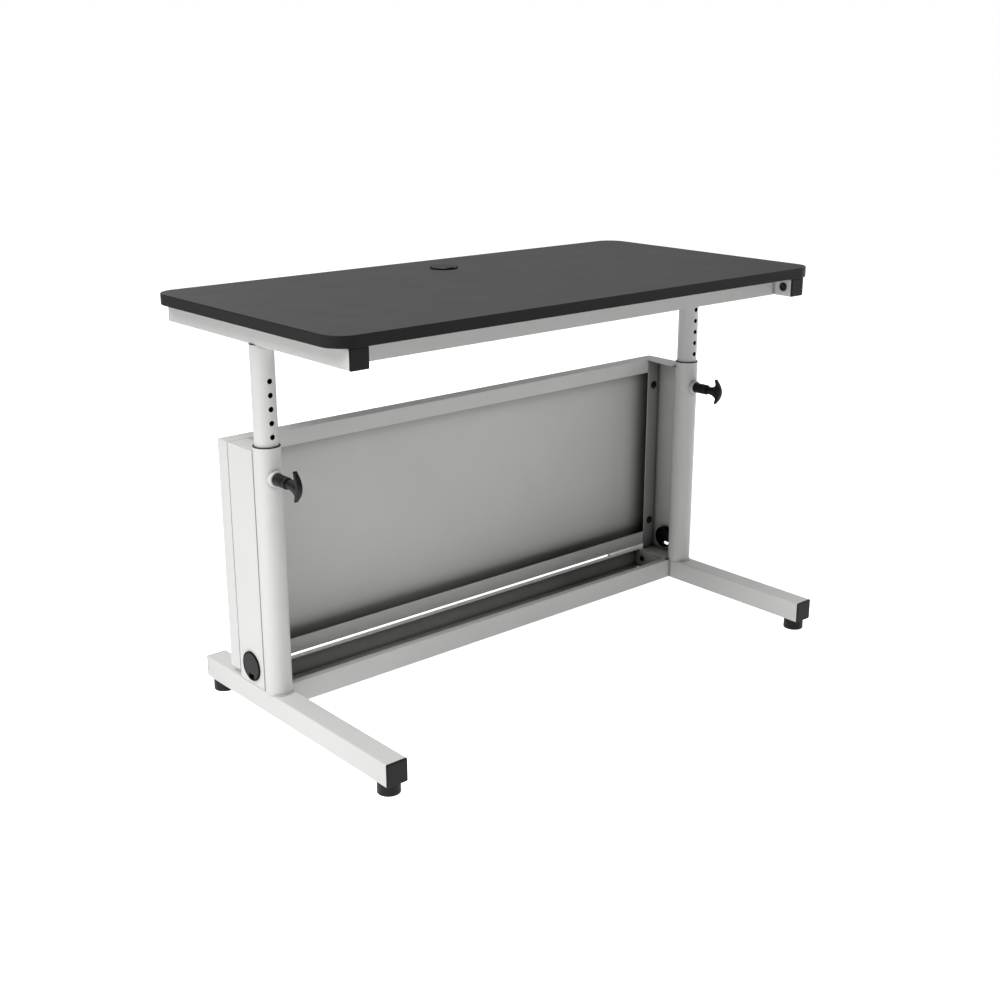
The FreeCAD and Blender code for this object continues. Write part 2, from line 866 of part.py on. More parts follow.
for side, s in SIDES:
    foot = square_tube(
        f"{side}_foot", d.foot_side, d.foot_wall, foot_tube,
        (s * leg_x, leg_y - d.foot_front + d.head_thick, foot_mid),
    )
    zero = d.foot_front - d.head_thick  # leg line in the foot's own frame
    holes = sketch(foot, "XY_Plane")
    for end, y in glide_spots:
        circle(holes, d.stem_wide + d.bolt_clear, (0, zero + y))
    pocket(foot, holes, d.foot_side)
    holes = sketch(foot, "YZ_Plane")
    for t, y in tray_bolts:
        circle(holes, d.tray_bolt_wide + d.bolt_clear, (zero + y, 0))
    pocket(foot, holes, d.foot_side, ahead=s < 0)
    nodes.append(foot)

foot_ends = [
    ((s * leg_x, leg_y + y, foot_mid), turn)
    for s in (-1, 1)
    for y, turn in ((-d.foot_front, None), (d.foot_rear, HALF_TURN))
]
copies("foot_end_caps", end_cap("foot_cap", d.foot_side, d.foot_wall), foot_ends)

# Round nuts welded inside the feet, and the levelling glides that screw into them.
nut = turned(
    "glide_nut",
    [
        (d.stem_wide / 2 + d.slide_gap, 0),
        (d.glide_nut_wide / 2, 0),
        (d.glide_nut_wide / 2, d.glide_nut_high),
        (d.stem_wide / 2 + d.slide_gap, d.glide_nut_high),
    ],
    (0, 0, 0),
)
copies(
    "glide_nuts",
    nut,
    [
        ((s * leg_x, leg_y + y, d.foot_clear + d.foot_wall), None)
        for s in (-1, 1)
        for end, y in glide_spots
    ],
)
pad_top = d.foot_clear - d.seat_gap
stem_top = d.foot_clear + d.stem_bite
for side, s in SIDES:
    for end, y in glide_spots:
        glide = turned(
            f"{side}_{end}_glide",
            [
                (0, 0),
                (d.glide_wide / 2 - d.edge_break, 0),
                (d.glide_wide / 2, d.edge_break),
                (d.glide_wide / 2, pad_top),
                (d.stem_wide / 2, pad_top),
                (d.stem_wide / 2, stem_top - d.edge_break),
                (d.stem_wide / 2 - d.edge_break, stem_top),
                (0, stem_top),
            ],
            (s * leg_x, leg_y + y, 0),
        )
        nodes.append(glide)

# ---------------------------------------------------------------- side covers
# Folded sheet behind each leg: outer wall, rear flange, and a flange on top and at the foot
# that reaches round the inner side of the tube.
clear_wide = d.outer_wide + 2 * d.seat_gap
wall_reach = cover_x - leg_x
side_high = d.side_top - foot_top
port_height = foot_top + d.port_rise
bolt_heights = (d.panel_low + d.bolt_rise, d.side_top - d.bolt_drop)
bolt_hole = d.bolt_wide + d.bolt_clear

for side, s in SIDES:
    cover = new_body(f"{side}_side_cover", (s * leg_x, leg_y, foot_top))
    out, inn = s * wall_reach, s * (wall_reach - d.sheet)
    back, lip = d.side_back, s * (wall_reach - d.lip_side)
    wall = outline(
        sketch(cover, "XY_Plane"),
        [
            (out, 0),
            (out, back),
            (lip, back),
            (lip, back - d.sheet),
            (inn, back - d.sheet),
            (inn, 0),
        ],
    )
    pad(cover, wall, side_high)
    bend = edges_along(
        cover, (0, 0, 1), lambda p: abs(p.y - back.value) < 0.01 and abs(p.x - out.value) < 0.01
    )
    soften(cover, bend, d.bend)
    narrow, wide = s * (wall_reach - d.flange_wide), s * (
        wall_reach - d.flange_wide - d.flange_flare
    )
    for level in (0, side_high - d.sheet):
        flange = [
            (inn, d.flange_front),
            (inn, back - d.sheet),
            (narrow, back - d.sheet),
            (wide, d.flange_front),
        ]
        pad(cover, outline(sketch(cover, "XY_Plane", level), flange), d.sheet)
    pocket(cover, circle(sketch(cover, "XY_Plane"), clear_wide), 2 * side_high, both=True)
    port = circle(sketch(cover, "YZ_Plane"), d.port_hole, (d.port_setback, d.port_rise))
    pocket(cover, port, 2 * d.side_wide, both=True)
    holes = sketch(cover, "XZ_Plane", -back)
    for height in bolt_heights:
        circle(holes, bolt_hole, (s * (wall_reach - d.bolt_inset), height - foot_top))
    pocket(cover, holes, 4 * d.sheet, both=True)
    nodes.append(cover)
    cable_port(
        f"{side}_side_port",
        (s * cover_x, leg_y + d.port_setback, port_height),
        ((0, 1, 0), 90 * s),
        s,
    )

# ---------------------------------------------------------------- rear panel
# A shallow pan: flat sheet at the back, four flanges forward and four lips folded inward.
pan_y = leg_y + d.side_back
pan_back = pan_y + d.panel_deep
pan = box((-cover_x, cover_x), (pan_y, pan_back), (d.panel_low, d.side_top))
cavity = box(
    (d.sheet - cover_x, cover_x - d.sheet),
    (pan_y + d.sheet, pan_back - d.sheet),
    (d.panel_low + d.sheet, d.side_top - d.sheet),
)
window = box(
    (d.lip_side - cover_x, cover_x - d.lip_side),
    (pan_y - d.sheet, pan_y + 2 * d.sheet),
    (d.panel_low + d.lip_high, d.side_top - d.lip_high),
)
pan_holes = [
    rod(
        bolt_hole,
        4 * d.sheet,
        (s * (cover_x - d.bolt_inset), pan_y + 2 * d.sheet, height),
        ((1, 0, 0), 90),
    )
    for s in (-1, 1)
    for height in bolt_heights
]
cut("rear_panel", pan, [cavity, window] + pan_holes)

# Flanged button bolts and nuts that hold the side covers to the panel's lips.
nut_thick = d.bolt_wide * 0.8  # proportion of a standard nut


def flanged_bolt(label, wide, head, cap, length):
    """A bolt along Y: its head in front of the origin, its shank behind."""
    flange, brow, floor = cap * 0.3, cap * 0.45, cap * 0.4
    brow_wide, crown, socket = head * 0.8, head * 0.5, wide * 0.6
    return turned(
        label,
        [
            (0, length),
            (wide / 2 - d.thread_bevel, length),
            (wide / 2, length - d.thread_bevel),
            (wide / 2, 0),
            (head / 2, 0),
            (head / 2, -flange),
            (brow_wide / 2, -brow),
            (crown / 2, -cap),
            (socket / 2, -cap),
            (socket / 2, -floor),
            (0, -floor),
        ],
        (0, 0, 0),
        along="Y",
    )


cover_bolts = [
    (s * (cover_x - d.bolt_inset), height)
    for s in (-1, 1)
    for height in bolt_heights
]
bolt = flanged_bolt(
    "cover_bolt", d.bolt_wide, d.bolt_head, d.bolt_cap, 2 * d.sheet + nut_thick + d.bolt_past
)
copies("cover_bolts", bolt, [((x, pan_y - d.sheet, z), None) for x, z in cover_bolts])
hexagon = new_body("cover_nut")
corner = d.bolt_nut / 2 / math.cos(math.pi / 6)
ring = outline(
    sketch(hexagon, "XZ_Plane"),
    [
        (corner * math.cos(math.pi / 3 * k), corner * math.sin(math.pi / 3 * k))
        for k in range(6)
    ],
)
pad(hexagon, circle(ring, d.bolt_wide), nut_thick, True)
copies("cover_nuts", hexagon, [((x, pan_y + d.sheet, z), None) for x, z in cover_bolts])

# ---------------------------------------------------------------- cable tray
# Folded channel between the feet, its two long edges lipped inward, its ends closed by tabs.
tray_low = d.foot_clear + d.tray_lift
front, back = leg_y + d.tray_front, leg_y + d.tray_back
channel = box((-inner_face, inner_face), (front, back), (tray_low, foot_top))
hollow = box(
    (d.sheet - inner_face, inner_face - d.sheet),
    (front + d.sheet, back - d.sheet),
    (tray_low + d.sheet, foot_top - d.sheet),
)
mouth = box(
    (d.sheet - inner_face, inner_face - d.sheet),
    (front + d.tray_lip, back - d.tray_lip),
    (foot_top - 2 * d.sheet, foot_top + d.sheet),
)
end_holes = [
    rod(
        d.tray_bolt_wide + d.bolt_clear,
        4 * d.sheet,
        (s * inner_face - 2 * d.sheet, leg_y + y, foot_mid),
        ((0, 1, 0), 90),
    )
    for s in (-1, 1)
    for t, y in tray_bolts
]
drains = [
    rod(
        d.drain_wide,
        4 * d.sheet,
        (s * (inner_face - d.drain_inset), back - d.drain_setback, tray_low - d.sheet),
    )
    for s in (-1, 1)
]
cut("cable_tray", channel, [hollow, mouth] + end_holes + drains)

bolt = flanged_bolt(
    "tray_bolt", d.tray_bolt_wide, d.tray_bolt_head, d.tray_bolt_cap, d.tray_bolt_long
)
copies(
    "tray_bolts",
    bolt,
    [
        ((s * (inner_face - d.sheet), leg_y + y, foot_mid), ((0, 0, 1), -90 * s))
        for s in (-1, 1)
        for t, y in tray_bolts
    ],
)

# ---------------------------------------------------------------- check and write
doc.recompute()
for thing in doc.Objects:
    if "Invalid" in thing.State or "Error" in thing.State:
        raise RuntimeError(f"{thing.Label} failed: {thing.State}")
for node in nodes:
    shape = node.Shape
    if shape.isNull() or not shape.isValid() or not shape.Solids:
        raise RuntimeError(f"{node.Label} has no sound solid")

os.makedirs("parts", exist_ok=True)
for node in nodes:
    node.Shape.exportStep(f"parts/{node.Label}.step")
print(len(nodes), "nodes written")
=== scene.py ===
"""Height adjustable standing desk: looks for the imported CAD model. Metres, origin on the floor."""
import math

import bmesh
import bpy
from mathutils import Matrix, Vector


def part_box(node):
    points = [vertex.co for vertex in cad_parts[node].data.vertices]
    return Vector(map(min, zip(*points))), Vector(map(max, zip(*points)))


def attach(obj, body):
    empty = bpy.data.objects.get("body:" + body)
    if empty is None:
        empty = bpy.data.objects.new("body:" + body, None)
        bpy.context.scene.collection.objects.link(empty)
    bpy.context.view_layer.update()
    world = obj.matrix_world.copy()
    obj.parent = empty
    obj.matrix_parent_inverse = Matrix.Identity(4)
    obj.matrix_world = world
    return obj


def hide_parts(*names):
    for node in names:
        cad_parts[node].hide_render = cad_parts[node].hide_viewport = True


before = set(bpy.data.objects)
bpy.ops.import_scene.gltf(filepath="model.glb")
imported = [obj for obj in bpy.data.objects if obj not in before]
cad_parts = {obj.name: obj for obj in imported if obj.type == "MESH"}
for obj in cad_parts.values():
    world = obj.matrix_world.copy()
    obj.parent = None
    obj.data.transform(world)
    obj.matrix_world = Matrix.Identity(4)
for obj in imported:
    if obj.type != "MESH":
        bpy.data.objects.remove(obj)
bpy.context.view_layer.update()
scene = bpy.context.scene
MM = 0.001


# ---- Camera, floor and light
# A standing viewer off the desk's front left corner, on white studio paper that burns out to
# white. The main softbox hangs high on the left; weaker ones fill from above, right and behind.
def linear(colour):
    """An sRGB hex colour as linear red, green, blue and alpha."""
    parts = [int(colour[i : i + 2], 16) / 255 for i in (1, 3, 5)]
    return [c / 12.92 if c <= 0.04045 else ((c + 0.055) / 1.055) ** 2.4 for c in parts] + [1.0]


def add(tree, kind, inputs=None, **settings):
    """A new node with its settings, and its inputs as values or links."""
    made = tree.nodes.new(kind)
    for name, value in settings.items():
        setattr(made, name, value)
    for name, value in (inputs or {}).items():
        if isinstance(value, bpy.types.NodeSocket):
            tree.links.new(value, made.inputs[name])
        else:
            made.inputs[name].default_value = value
    return made


camera_data = bpy.data.cameras.new("camera")
camera_data.lens = 50.0
camera_data.clip_end = 50.0
camera = bpy.data.objects.new("camera", camera_data)
scene.collection.objects.link(camera)
camera.location = (-1.8185, -2.0562, 1.2074)
camera.rotation_euler = (math.radians(90 - 17.57), 0.0, math.radians(-40.91))
scene.camera = camera
scene.view_settings.view_transform = "Standard"

world = bpy.data.worlds.new("studio")
scene.world = world
world.use_nodes = True
tree = world.node_tree
seen = add(tree, "ShaderNodeLightPath").outputs["Is Camera Ray"]
room = add(tree, "ShaderNodeMapRange", {"Value": seen, "To Min": 0.03, "To Max": 1.0})
tree.nodes["Background"].inputs["Color"].default_value = linear("#ffffff")
tree.links.new(room.outputs["Result"], tree.nodes["Background"].inputs["Strength"])


def softbox(name, place, aim, power, size=3.0):
    """A square area light that faces a point and is out of the camera's sight."""
    data = bpy.data.lights.new(name, "AREA")
    data.size = size
    data.energy = power
    lamp = bpy.data.objects.new(name, data)
    scene.collection.objects.link(lamp)
    lamp.location = place
    lamp.rotation_euler = (Vector(aim) - Vector(place)).to_track_quat("-Z", "Y").to_euler()
    lamp.visible_camera = False


softbox("key_left", (-2.7, -0.5, 4.2), (0, 0, 0.4), 132)
softbox("low_left", (-1.35, -0.1, 0.27), (0, -0.1, 0.1), 1.3, 0.5)
softbox("fill_front", (-0.6, -3.6, 3.2), (0, 0, 0.2), 10)
softbox("fill_right", (4.2, -0.6, 1.8), (0, 0, 0.4), 66)
softbox("fill_overhead", (0, 0.2, 4.2), (0, 0, 0), 38)
softbox("fill_behind", (0.3, 4.4, 1.8), (0, 0, 0.4), 26)
softbox("fill_behind_right", (3.0, 3.4, 2.6), (0, 0, 0.4), 16)
softbox("fill_behind_left", (-3.4, 2.6, 1.6), (0, 0, 0.4), 10)

sweep = bmesh.new()
bmesh.ops.create_grid(sweep, x_segments=1, y_segments=1, size=12.0)
floor_mesh = bpy.data.meshes.new("floor")
sweep.to_mesh(floor_mesh)
sweep.free()
floor = bpy.data.objects.new("floor", floor_mesh)
scene.collection.objects.link(floor)
paper = bpy.data.materials.new("studio_paper")
paper.use_nodes = True
tree = paper.node_tree
coat = tree.nodes["Principled BSDF"]
coat.inputs["Base Color"].default_value = linear("#f7f7f7")
coat.inputs["Roughness"].default_value = 0.9
coat.inputs["Emission Color"].default_value = linear("#ffffff")
seen = add(tree, "ShaderNodeLightPath").outputs["Is Camera Ray"]
glow = add(tree, "ShaderNodeMapRange", {"Value": seen, "To Min": 0.26, "To Max": 1.0})
tree.links.new(glow.outputs["Result"], coat.inputs["Emission Strength"])
floor_mesh.materials.append(paper)


# ---- Feet
# Square steel tube with small rolled corners, blasted and coated with white polyester powder
# that cures to a fine orange peel and a satin shine.
def start(name):
    """A material, its tree, its shader and its Object coordinates."""
    made = bpy.data.materials.new(name)
    made.use_nodes = True
    tree = made.node_tree
    here = add(tree, "ShaderNodeTexCoord").outputs["Object"]
    return made, tree, tree.nodes["Principled BSDF"], here


def colour(tree, shader, field, low, high):
    """The base colour, between two tones as a field goes from 0 to 1."""
    tone = add(tree, "ShaderNodeValToRGB", {"Fac": field})
    tone.color_ramp.elements[0].color = linear(low)
    tone.color_ramp.elements[1].color = linear(high)
    tree.links.new(tone.outputs["Color"], shader.inputs["Base Color"])


def relief(tree, shader, field, strength, depth):
    """A bump from a field, its full depth in millimetres."""
    bump = add(
        tree, "ShaderNodeBump", {"Height": field, "Strength": strength, "Distance": depth * MM}
    )
    tree.links.new(bump.outputs["Normal"], shader.inputs["Normal"])


def noise(tree, here, size, detail):
    """Soft noise with swells of a size in millimetres."""
    return add(
        tree, "ShaderNodeTexNoise", {"Vector": here, "Scale": 1 / (size * MM), "Detail": detail}
    ).outputs["Fac"]


def gloss(tree, shader, field, low, high):
    """Roughness between two values as a field goes from 0 to 1."""
    span = add(tree, "ShaderNodeMapRange", {"Value": field, "To Min": low, "To Max": high})
    tree.links.new(span.outputs["Result"], shader.inputs["Roughness"])


def paint(node, material):
    """Give a CAD node one material."""
    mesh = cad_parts[node].data
    mesh.materials.clear()
    mesh.materials.append(material)


def powder_coat(name):
    """White polyester powder: orange peel of 2.5 mm swells and a slow drift in the film's
    thickness. Inner corners and creases are darkened with painted shade."""
    made, tree, shader, here = start(name)
    peel = noise(tree, here, 2.5, 1.5)
    drift = noise(tree, here, 120, 2.0)
    colour(tree, shader, drift, "#e3e3e1", "#e9e9e7")
    coat = shader.inputs["Base Color"].links[0].from_socket
    # Painted shade: ambient occlusion darkens the coat within 60 mm of inner corners, and within 8
    # mm of creases and of seams between parts.
    painted_corner_shade = add(
        tree, "ShaderNodeAmbientOcclusion", {"Color": coat, "Distance": 60 * MM}, only_local=True
    ).outputs["Color"]
    painted_crease_shade = add(tree, "ShaderNodeAmbientOcclusion", {"Color": painted_corner_shade, "Distance": 8 * MM})
    tree.links.new(painted_crease_shade.outputs["Color"], shader.inputs["Base Color"])
    gloss(tree, shader, drift, 0.36, 0.46)
    relief(tree, shader, peel, 0.2, 0.12)
    shader.inputs["IOR"].default_value = 1.5
    shader.inputs["Specular IOR Level"].default_value = 0.45
    return made, tree, shader, here


powder = powder_coat("white_powder_coat")[0]
for side in ("left", "right"):
    paint(f"{side}_foot", powder)

# ---- Levelling glides
# Glass filled nylon pads on threaded stems, from a spark eroded mould: a fine even pebble
# and a dull sheen. Each screws into a nut inside the foot.
nylon, tree, shader, here = start("moulded_nylon")
pebble = add(tree, "ShaderNodeTexVoronoi", {"Vector": here, "Scale": 1 / (1.0 * MM)})
smear = noise(tree, here, 15, 3.0)
colour(tree, shader, smear, "#0e0e0e", "#151515")
gloss(tree, shader, smear, 0.42, 0.54)
relief(tree, shader, pebble.outputs["Distance"], 0.25, 0.1)
shader.inputs["IOR"].default_value = 1.53
shader.inputs["Specular IOR Level"].default_value = 0.35


def spun(pairs, steps=64):
    """A mesh turned about Z from (radius, height) pairs in millimetres."""
    mesh = bmesh.new()
    points = [mesh.verts.new((radius * MM, 0, height * MM)) for radius, height in pairs]
    lines = [mesh.edges.new(pair) for pair in zip(points, points[1:])]
    bmesh.ops.spin(
        mesh, geom=points + lines, axis=(0, 0, 1), angle=math.tau, steps=steps, use_merge=True
    )
    bmesh.ops.remove_doubles(mesh, verts=mesh.verts, dist=1e-6)
    bmesh.ops.recalc_face_normals(mesh, faces=mesh.faces)
    return mesh


def ease(mesh, width, segments=3, sharp=35):
    """Round every edge sharper than an angle in degrees, to a width in millimetres."""
    edges = [e for e in mesh.edges if e.is_manifold and e.calc_face_angle() > math.radians(sharp)]
    bmesh.ops.bevel(
        mesh,
        geom=edges,
        offset=width * MM,
        offset_type="OFFSET",
        affect="EDGES",
        segments=segments,
        profile=0.5,
        material=-1,
        clamp_overlap=True,
    )


def finish_piece(name, mesh, places, material, body, slot, *nodes):
    """One object from a mesh set at each place, riding on a body in the stead of its nodes."""
    single = bpy.data.meshes.new(name + "_single")
    mesh.to_mesh(single)
    mesh.free()
    whole = bmesh.new()
    for place in places:
        set_down = single.copy()
        set_down.transform(place)
        whole.from_mesh(set_down)
        bpy.data.meshes.remove(set_down)
    bpy.data.meshes.remove(single)
    bmesh.ops.recalc_face_normals(whole, faces=whole.faces)
    data = bpy.data.meshes.new(name)
    whole.to_mesh(data)
    whole.free()
    data.shade_smooth()
    data.set_sharp_from_angle(angle=math.radians(40))
    data.materials.append(material)
    piece = bpy.data.objects.new(name, data)
    scene.collection.objects.link(piece)
    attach(piece, body)
    if nodes:
        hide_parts(*nodes)
    return piece


def middle(node):
    """The centre of a node's box."""
    low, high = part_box(node)
    return (Vector(low) + Vector(high)) / 2


def size_mm(node):
    """The three sides of a node's box in millimetres."""
    low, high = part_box(node)
    return [(b - a) / MM for a, b in zip(low, high)]


pad_high, stem_wide = 22.3, 10.0
for side in ("left", "right"):
    for end in ("front", "rear"):
        node = f"{side}_{end}_glide"
        wide, _, high = size_mm(node)
        glide = spun(
            [
                (0, 0),
                (wide / 2, 0),
                (wide / 2, pad_high),
                (wide / 2 - 4, pad_high),
                (wide / 2 - 5, pad_high - 1),
                (stem_wide / 2, pad_high - 1),
                (stem_wide / 2, high),
                (0, high),
            ]
        )
        ease(glide, 1.1, 4)
        at = middle(node)
        at.z = 0
        finish_piece(
            f"{side}_{end}_glide_pad", glide, [Matrix.Translation(at)], nylon, node,
            "black_plastic", node,
        )


# ---- End caps of feet and rails
# Push-in caps of the same nylon: a head with rounded corners and a raised field that leaves
# a sunk border, and a hollow plug with its mouth inside the tube.
# Thickness of a head, length of a plug, rise of the field; corner radius and width of the border.
HEAD, PLUG, FIELD = 3.0, 12.0, 0.7
CORNER, BORDER = 2.5, 1.6


def end_cap(side, wall):
    """A cap whose face looks along -Y from the origin."""
    mesh = bmesh.new()
    bmesh.ops.create_cube(mesh, size=1.0)
    bmesh.ops.scale(mesh, vec=(side * MM, (HEAD - FIELD) * MM, side * MM), verts=mesh.verts)
    bmesh.ops.translate(mesh, vec=(0, (HEAD + FIELD) / 2 * MM, 0), verts=mesh.verts)
    corners = [e for e in mesh.edges if abs(e.verts[0].co.y - e.verts[1].co.y) > MM]
    bmesh.ops.bevel(
        mesh, geom=corners, offset=CORNER * MM, offset_type="OFFSET", affect="EDGES", segments=5,
        profile=0.5, material=-1, clamp_overlap=True,
    )
    mesh.normal_update()
    face = min(mesh.faces, key=lambda f: f.normal.y)
    rim = list(face.edges)
    bmesh.ops.bevel(
        mesh, geom=rim, offset=0.5 * MM, offset_type="OFFSET", affect="EDGES", segments=2,
        profile=0.5, material=-1, clamp_overlap=True,
    )
    mesh.normal_update()
    face = min(mesh.faces, key=lambda f: f.normal.y * f.calc_area())
    bmesh.ops.inset_region(mesh, faces=[face], thickness=BORDER * MM, use_even_offset=True)
    bmesh.ops.inset_region(
        mesh, faces=[face], thickness=0.4 * MM, depth=FIELD * MM, use_even_offset=True
    )
    back = max(mesh.faces, key=lambda f: f.normal.y * f.calc_area())
    bmesh.ops.inset_region(mesh, faces=[back], thickness=(wall + 0.1) * MM, use_even_offset=True)
    grown = bmesh.ops.extrude_discrete_faces(mesh, faces=[back])["faces"]
    bmesh.ops.translate(mesh, vec=(0, PLUG * MM, 0), verts=grown[0].verts)
    bmesh.ops.inset_region(mesh, faces=grown, thickness=2.0 * MM, use_even_offset=True)
    hollow = bmesh.ops.extrude_discrete_faces(mesh, faces=grown)["faces"]
    bmesh.ops.translate(mesh, vec=(0, -PLUG * MM, 0), verts=hollow[0].verts)
    return mesh


def tube_ends(tube_nodes):
    """The places of the caps on both ends of the tubes, each face on its tube's end."""
    spots = []
    for node in tube_nodes:
        low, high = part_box(node)
        at = middle(node)
        front = Matrix.Translation((at.x, low[1] - HEAD * MM, at.z))
        rear = Matrix.Translation((at.x, high[1] + HEAD * MM, at.z))
        spots += [front, rear @ Matrix.Rotation(math.pi, 4, "Z")]
    return spots


feet = ["left_foot", "right_foot"]
finish_piece(
    "foot_caps", end_cap(size_mm("left_foot")[0], 2.0), tube_ends(feet), nylon, "base",
    "black_plastic", "foot_end_caps",
)

# ---- Glide nuts
# Turned steel nuts inside the feet, bright zinc with the plating bath's faint mottle.
zinc, tree, shader, here = start("zinc_plated_steel")
mottle = noise(tree, here, 3, 3.0)
colour(tree, shader, mottle, "#a9abad", "#c6c8ca")
gloss(tree, shader, mottle, 0.26, 0.38)
relief(tree, shader, mottle, 0.1, 0.05)
shader.inputs["Metallic"].default_value = 1.0
paint("glide_nuts", zinc)

# ---- Telescopic legs
# Drawn round tube in the frame's powder coat. The outer tube is welded to its foot with a
# bead on the foot's top at front and rear, where the tube's rim lies on the flat.
# The inner tube's bore and the walls of its adjustment holes are given as bare, oiled steel,
# dark brown and deepened to near black as painted shade in the holes: a guess, as the photo
# shows the holes only as dark spots.
bored, tree, shader, here = powder_coat("coated_tube_with_bare_and_shaded_bore")
axis = middle("right_upper_tube")
axis.z = 0
here = add(tree, "ShaderNodeVectorMath", {0: here}, operation="ABSOLUTE").outputs[0]
here = add(
    tree, "ShaderNodeVectorMath", {0: here, 1: (1, 1, 0)}, operation="MULTIPLY"
).outputs[0]
off = add(
    tree, "ShaderNodeVectorMath", {0: here, 1: [abs(c) for c in axis]}, operation="DISTANCE"
).outputs["Value"]
skin = (size_mm("right_upper_tube")[0] / 2 - 0.4) * MM
inside_bore = add(tree, "ShaderNodeMath", {0: off, 1: skin}, operation="LESS_THAN").outputs[0]
coat = shader.inputs["Base Color"].links[0].from_socket
# Painted shade: everything inside the coat's skin, the bore and the holes' walls, is near black.
bare_steel_and_shade = add(
    tree, "ShaderNodeMix", {"Factor": inside_bore, "A": coat, "B": linear("#141312")}, data_type="RGBA"
)
tree.links.new(bare_steel_and_shade.outputs["Result"], shader.inputs["Base Color"])
for side in ("left", "right"):
    paint(f"{side}_lower_tube", powder)
    paint(f"{side}_upper_tube", bored)
    tube_radius = size_mm(f"{side}_lower_tube")[0] / 2
    flat_top = 41.0
    reach = math.asin(flat_top / 2 / tube_radius)
    bead = bmesh.new()
    profile = [(-0.6, -0.2), (1.9, -0.2), (1.7, 0.7), (0.8, 1.6), (-0.6, 1.9)]
    points = [bead.verts.new(((tube_radius + out) * MM, 0, up * MM)) for out, up in profile]
    section = bead.faces.new(points)
    bmesh.ops.spin(
        bead, geom=[section], axis=(0, 0, 1), angle=2 * reach, steps=40, use_merge=False
    )
    bmesh.ops.rotate(bead, matrix=Matrix.Rotation(-reach - math.pi / 2, 3, "Z"), verts=bead.verts)
    bmesh.ops.remove_doubles(bead, verts=bead.verts, dist=1e-6)
    at = middle(f"{side}_lower_tube")
    at.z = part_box(f"{side}_lower_tube")[0][2]
    front = Matrix.Translation(at)
    finish_piece(
        f"{side}_leg_weld", bead, [front, front @ Matrix.Rotation(math.pi, 4, "Z")], powder,
        "base", "white_powder_coat",
    )

# ---- Bushings and sleeves
# Acetal rings that guide the inner tube: the bushing's rounded black lip closes the mouth of
# the outer tube, the sleeve is pressed on the inner tube's lower end and never seen.
acetal, tree, shader, here = start("natural_acetal")
turned = noise(tree, here, 0.8, 2.0)
milk = noise(tree, here, 25, 2.0)
colour(tree, shader, milk, "#d3d3ca", "#dcdcd4")
gloss(tree, shader, milk, 0.4, 0.5)
relief(tree, shader, turned, 0.15, 0.05)
shader.inputs["IOR"].default_value = 1.48
for side in ("left", "right"):
    node = f"{side}_tube_bushing"
    wide, _, high = size_mm(node)
    bore = size_mm(f"{side}_upper_tube")[0] / 2 + 0.05
    mouth = size_mm(f"{side}_lower_tube")[0] / 2 - 1.5
    lip = 1.5
    ring = spun(
        [
            (bore, 0),
            (mouth, 0),
            (mouth, high - lip),
            (wide / 2, high - lip),
            (wide / 2, high),
            (bore, high),
            (bore, 0),
        ],
        96,
    )
    ease(ring, 0.5, 3)
    at = middle(node)
    at.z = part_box(node)[0][2]
    finish_piece(
        f"{side}_bushing_ring", ring, [Matrix.Translation(at)], nylon, "base", "black_plastic",
        node,
    )
    paint(f"{side}_tube_sleeve", acetal)

# ---- Spring plungers
# A turned boss welded to the leg in the frame's coat; a barrel of the same nylon with a snap
# ring groove screwed into it; a zinc plated pin and spring inside.
for side in ("left", "right"):
    paint(f"{side}_plunger_boss", powder)
    paint(f"{side}_plunger_pin", zinc)
    paint(f"{side}_plunger_spring", zinc)
    node = f"{side}_plunger_barrel"
    low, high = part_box(node)
    wide = size_mm(node)[0]
    long = size_mm(node)[1]
    head = long - (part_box(f"{side}_plunger_boss")[0][1] - low[1]) / MM
    groove, groove_deep, collar = long - 11.0, 1.6, 1.2
    barrel = spun(
        [
            (5.0, 0),
            (8.0, 0),
            (8.0, head),
            (wide / 2, head),
            (wide / 2, groove),
            (wide / 2 - groove_deep, groove),
            (wide / 2 - groove_deep, groove + 2),
            (wide / 2, groove + 2),
            (wide / 2, long - 2.2),
            (wide / 2 - 0.9, long - collar),
            (wide / 2 - 0.9, long),
            (3.1, long),
            (3.1, long - 7),
            (7.0, long - 7),
            (7.0, 7.3),
            (5.0, 7.3),
            (5.0, 0),
        ]
    )
    ease(barrel, 0.35, 2)
    at = middle(node)
    out = Matrix.Translation((at.x, high[1], at.z)) @ Matrix.Rotation(math.pi / 2, 4, "X")
    finish_piece(f"{side}_barrel", barrel, [out], nylon, "base", "black_plastic", node)

# ---- Pull handles
# Anchor shaped grips moulded in the same nylon: a flat sided crescent with two rounded tips,
# and a round neck with a web that flares into the crescent's back.
def plate(outline, thick):
    """A mesh of even thickness across X from (back, up) points in millimetres."""
    mesh = bmesh.new()
    points = [mesh.verts.new((-thick / 2 * MM, back * MM, up * MM)) for back, up in outline]
    made = bmesh.ops.extrude_face_region(mesh, geom=[mesh.faces.new(points)])
    moved = [part for part in made["geom"] if isinstance(part, bmesh.types.BMVert)]
    bmesh.ops.translate(mesh, vec=(thick * MM, 0, 0), verts=moved)
    bmesh.ops.recalc_face_normals(mesh, faces=mesh.faces)
    return mesh


